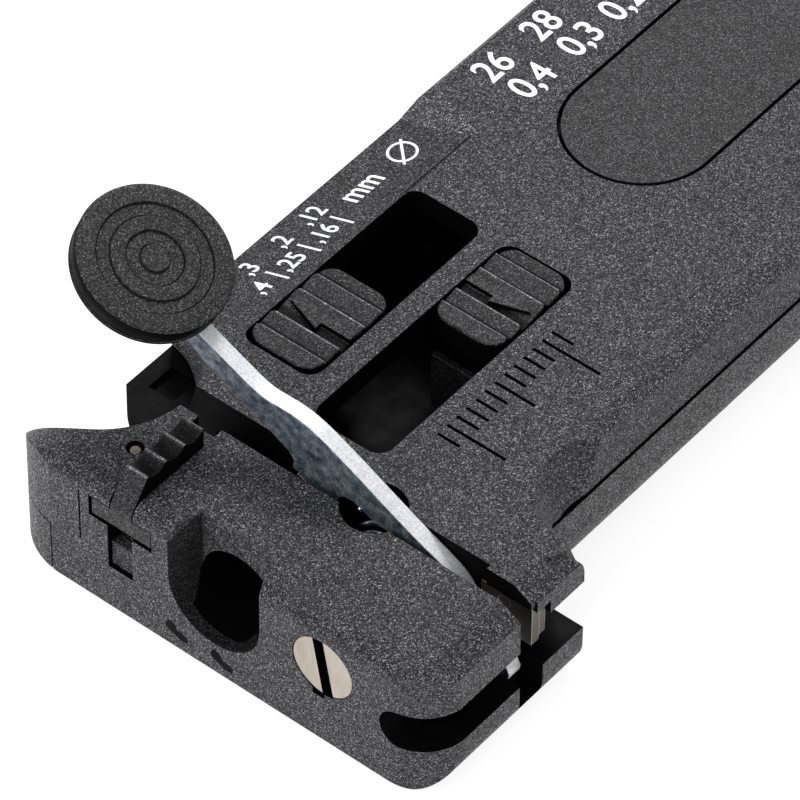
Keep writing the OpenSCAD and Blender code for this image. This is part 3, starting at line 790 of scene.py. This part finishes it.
def slope_point(x, y, lift):
    """A point on the sloped scale field, raised by lift."""
    return (x, y, FIELD_TOP - math.tan(SLOPE) * (SLOPE_X - x) + lift)


def printed(name, text, x, y, em, slant=0.0, sloped=False):
    """White figures that read along +Y with their tops towards -X."""
    font = bpy.data.curves.new(name, "FONT")
    font.body = text
    font.align_x = "CENTER"
    font.align_y = "CENTER"
    font.size = 1.0
    font.offset = 0.012
    font.extrude = 0.01
    font.resolution_u = 6
    holder = bpy.data.objects.new(name + "_type", font)
    bpy.context.scene.collection.objects.link(holder)
    bpy.context.view_layer.update()
    mesh = bpy.data.meshes.new_from_object(holder.evaluated_get(
        bpy.context.evaluated_depsgraph_get()))
    bpy.data.objects.remove(holder)
    wide, tall = 0.875 * em, 0.985 * em
    xs = [v.co.x for v in mesh.vertices]
    ys = [v.co.y for v in mesh.vertices]
    mid_x, mid_y = (min(xs) + max(xs)) / 2, (min(ys) + max(ys)) / 2
    for v in mesh.vertices:
        along = (v.co.x - mid_x) * wide
        rise = (v.co.y - mid_y) * tall
        lift = PRINT_LIFT if v.co.z > 0 else PRINT_SINK
        px, py = x - rise, y + along - slant * rise
        pz = FIELD_TOP - math.tan(SLOPE) * max(0.0, SLOPE_X - px) if sloped else TOP_Z
        v.co = P(px, py, pz + lift)
    mesh.materials.clear()
    mesh.materials.append(WHITE_INK)
    obj = bpy.data.objects.new(name, mesh)
    bpy.context.scene.collection.objects.link(obj)
    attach(obj, "housing")


def ring_sign(name, x, y, r, width):
    """The diameter sign: a circle with a slanted stroke."""
    bm = bmesh.new()
    sides = 48
    turns = [2 * math.pi * i / sides for i in range(sides)]
    loops = []
    for radius, lift in ((r - width, PRINT_SINK), (r - width, PRINT_LIFT), (r, PRINT_LIFT),
                         (r, PRINT_SINK)):
        loops.append([bm.verts.new(slope_point(x + radius * math.cos(a), y + radius * math.sin(a),
                                               lift)) for a in turns])
    for a, b in zip(loops, loops[1:] + loops[:1]):
        for i in range(sides):
            j = (i + 1) % sides
            bm.faces.new((a[i], a[j], b[j], b[i]))
    reach = r * 1.25 / math.sqrt(2)
    half = width * 0.5 / math.sqrt(2)
    ends = [(x - reach - half, y + reach - half), (x - reach + half, y + reach + half),
            (x + reach + half, y - reach + half), (x + reach - half, y - reach - half)]
    prism(bm, ends, lambda a, b: slope_point(a, b, PRINT_SINK),
          lambda a, b: slope_point(a, b, PRINT_LIFT + 0.002))
    piece(name, bm, "housing", WHITE_INK)


def make_print():
    # Painted shadow: a dark strip along the step at the scale field's right edge
    bm = bmesh.new()
    box_mesh(bm, (SLOPE_X - 0.21, SLOPE_X - 0.02), (33.9, 41.0),
             (FIELD_TOP - 0.05, FIELD_TOP + 0.02))
    piece("field_edge_shadow", bm, "housing", INNER_SHADE)
    inner, outer = -12.85, -14.8
    small = 1.95
    for name, text, x, y in (("wire_040", ",4", inner, 20.95), ("wire_025", ",25", inner, 24.1),
                             ("wire_016", ",16", inner - 0.05, 27.6),
                             ("wire_030", ",3", outer, 22.0), ("wire_020", ",2", outer, 25.4),
                             ("wire_012", ",12", outer, 28.6)):
        printed(name, text, x, y, small, 0.2, True)
    for i, y in enumerate((22.55, 25.9, 29.35)):
        bm = bmesh.new()
        ends = [(inner - 0.85, y - 0.27), (inner - 0.85, y - 0.09), (inner + 0.95, y + 0.27),
                (inner + 0.95, y + 0.09)]
        prism(bm, ends, lambda a, b: slope_point(a, b, PRINT_SINK),
              lambda a, b: slope_point(a, b, PRINT_LIFT))
        piece("scale_bar_%d" % (i + 1), bm, "housing", WHITE_INK)
    printed("unit_mm", "mm", -13.65, 32.7, 2.45, 0.2, True)
    ring_sign("sign_diameter", -13.9, 37.15, 1.12, 0.2)
    gauges = ("26", "28", "30", "32", "34", "36", "38")
    sizes = ("0,4", "0,3", "0,25", "0,2", "0,16", "0,12", "0,1")
    first_y, pitch, large = 47.1, 5.35, 3.2
    for i, (gauge, size) in enumerate(zip(gauges, sizes)):
        y = first_y + i * pitch
        printed("gauge_" + gauge, gauge, -14.0, y, large, 0.03)
        printed("size_" + size.replace(",", "_"), size, -10.9, y + 0.65, large, 0.03)


make_camera()
make_studio()
shade_openings(("top_shell", "nose_block", "base_shell", "pivot_screw"))
# Painted shade in the wire entry's funnel; the scale field gets painted shade for its tilt and its
# end ramp a painted highlight
repaint(frame["nodes"]["nose_block"], FUNNEL_SHADE, lambda at, normal: -3.6 < at.x < 4.9
        and 1.2 < at.z < 9.9 and 0.02 < at.y < 2.72 and normal.y > -0.95)
repaint(frame["nodes"]["top_shell"], FIELD_SHADE, lambda at, normal: at.x < SLOPE_X
        and 0.98 < normal.z < 0.992)
repaint(frame["nodes"]["top_shell"], RAMP_HIGHLIGHT, lambda at, normal: at.x < SLOPE_X
        and 0.9 < normal.z < 0.975 and at.y > 34)
make_button()
make_lever()
make_spring()
make_sliders()
make_lock_slider()
make_gate_marks()
make_print()
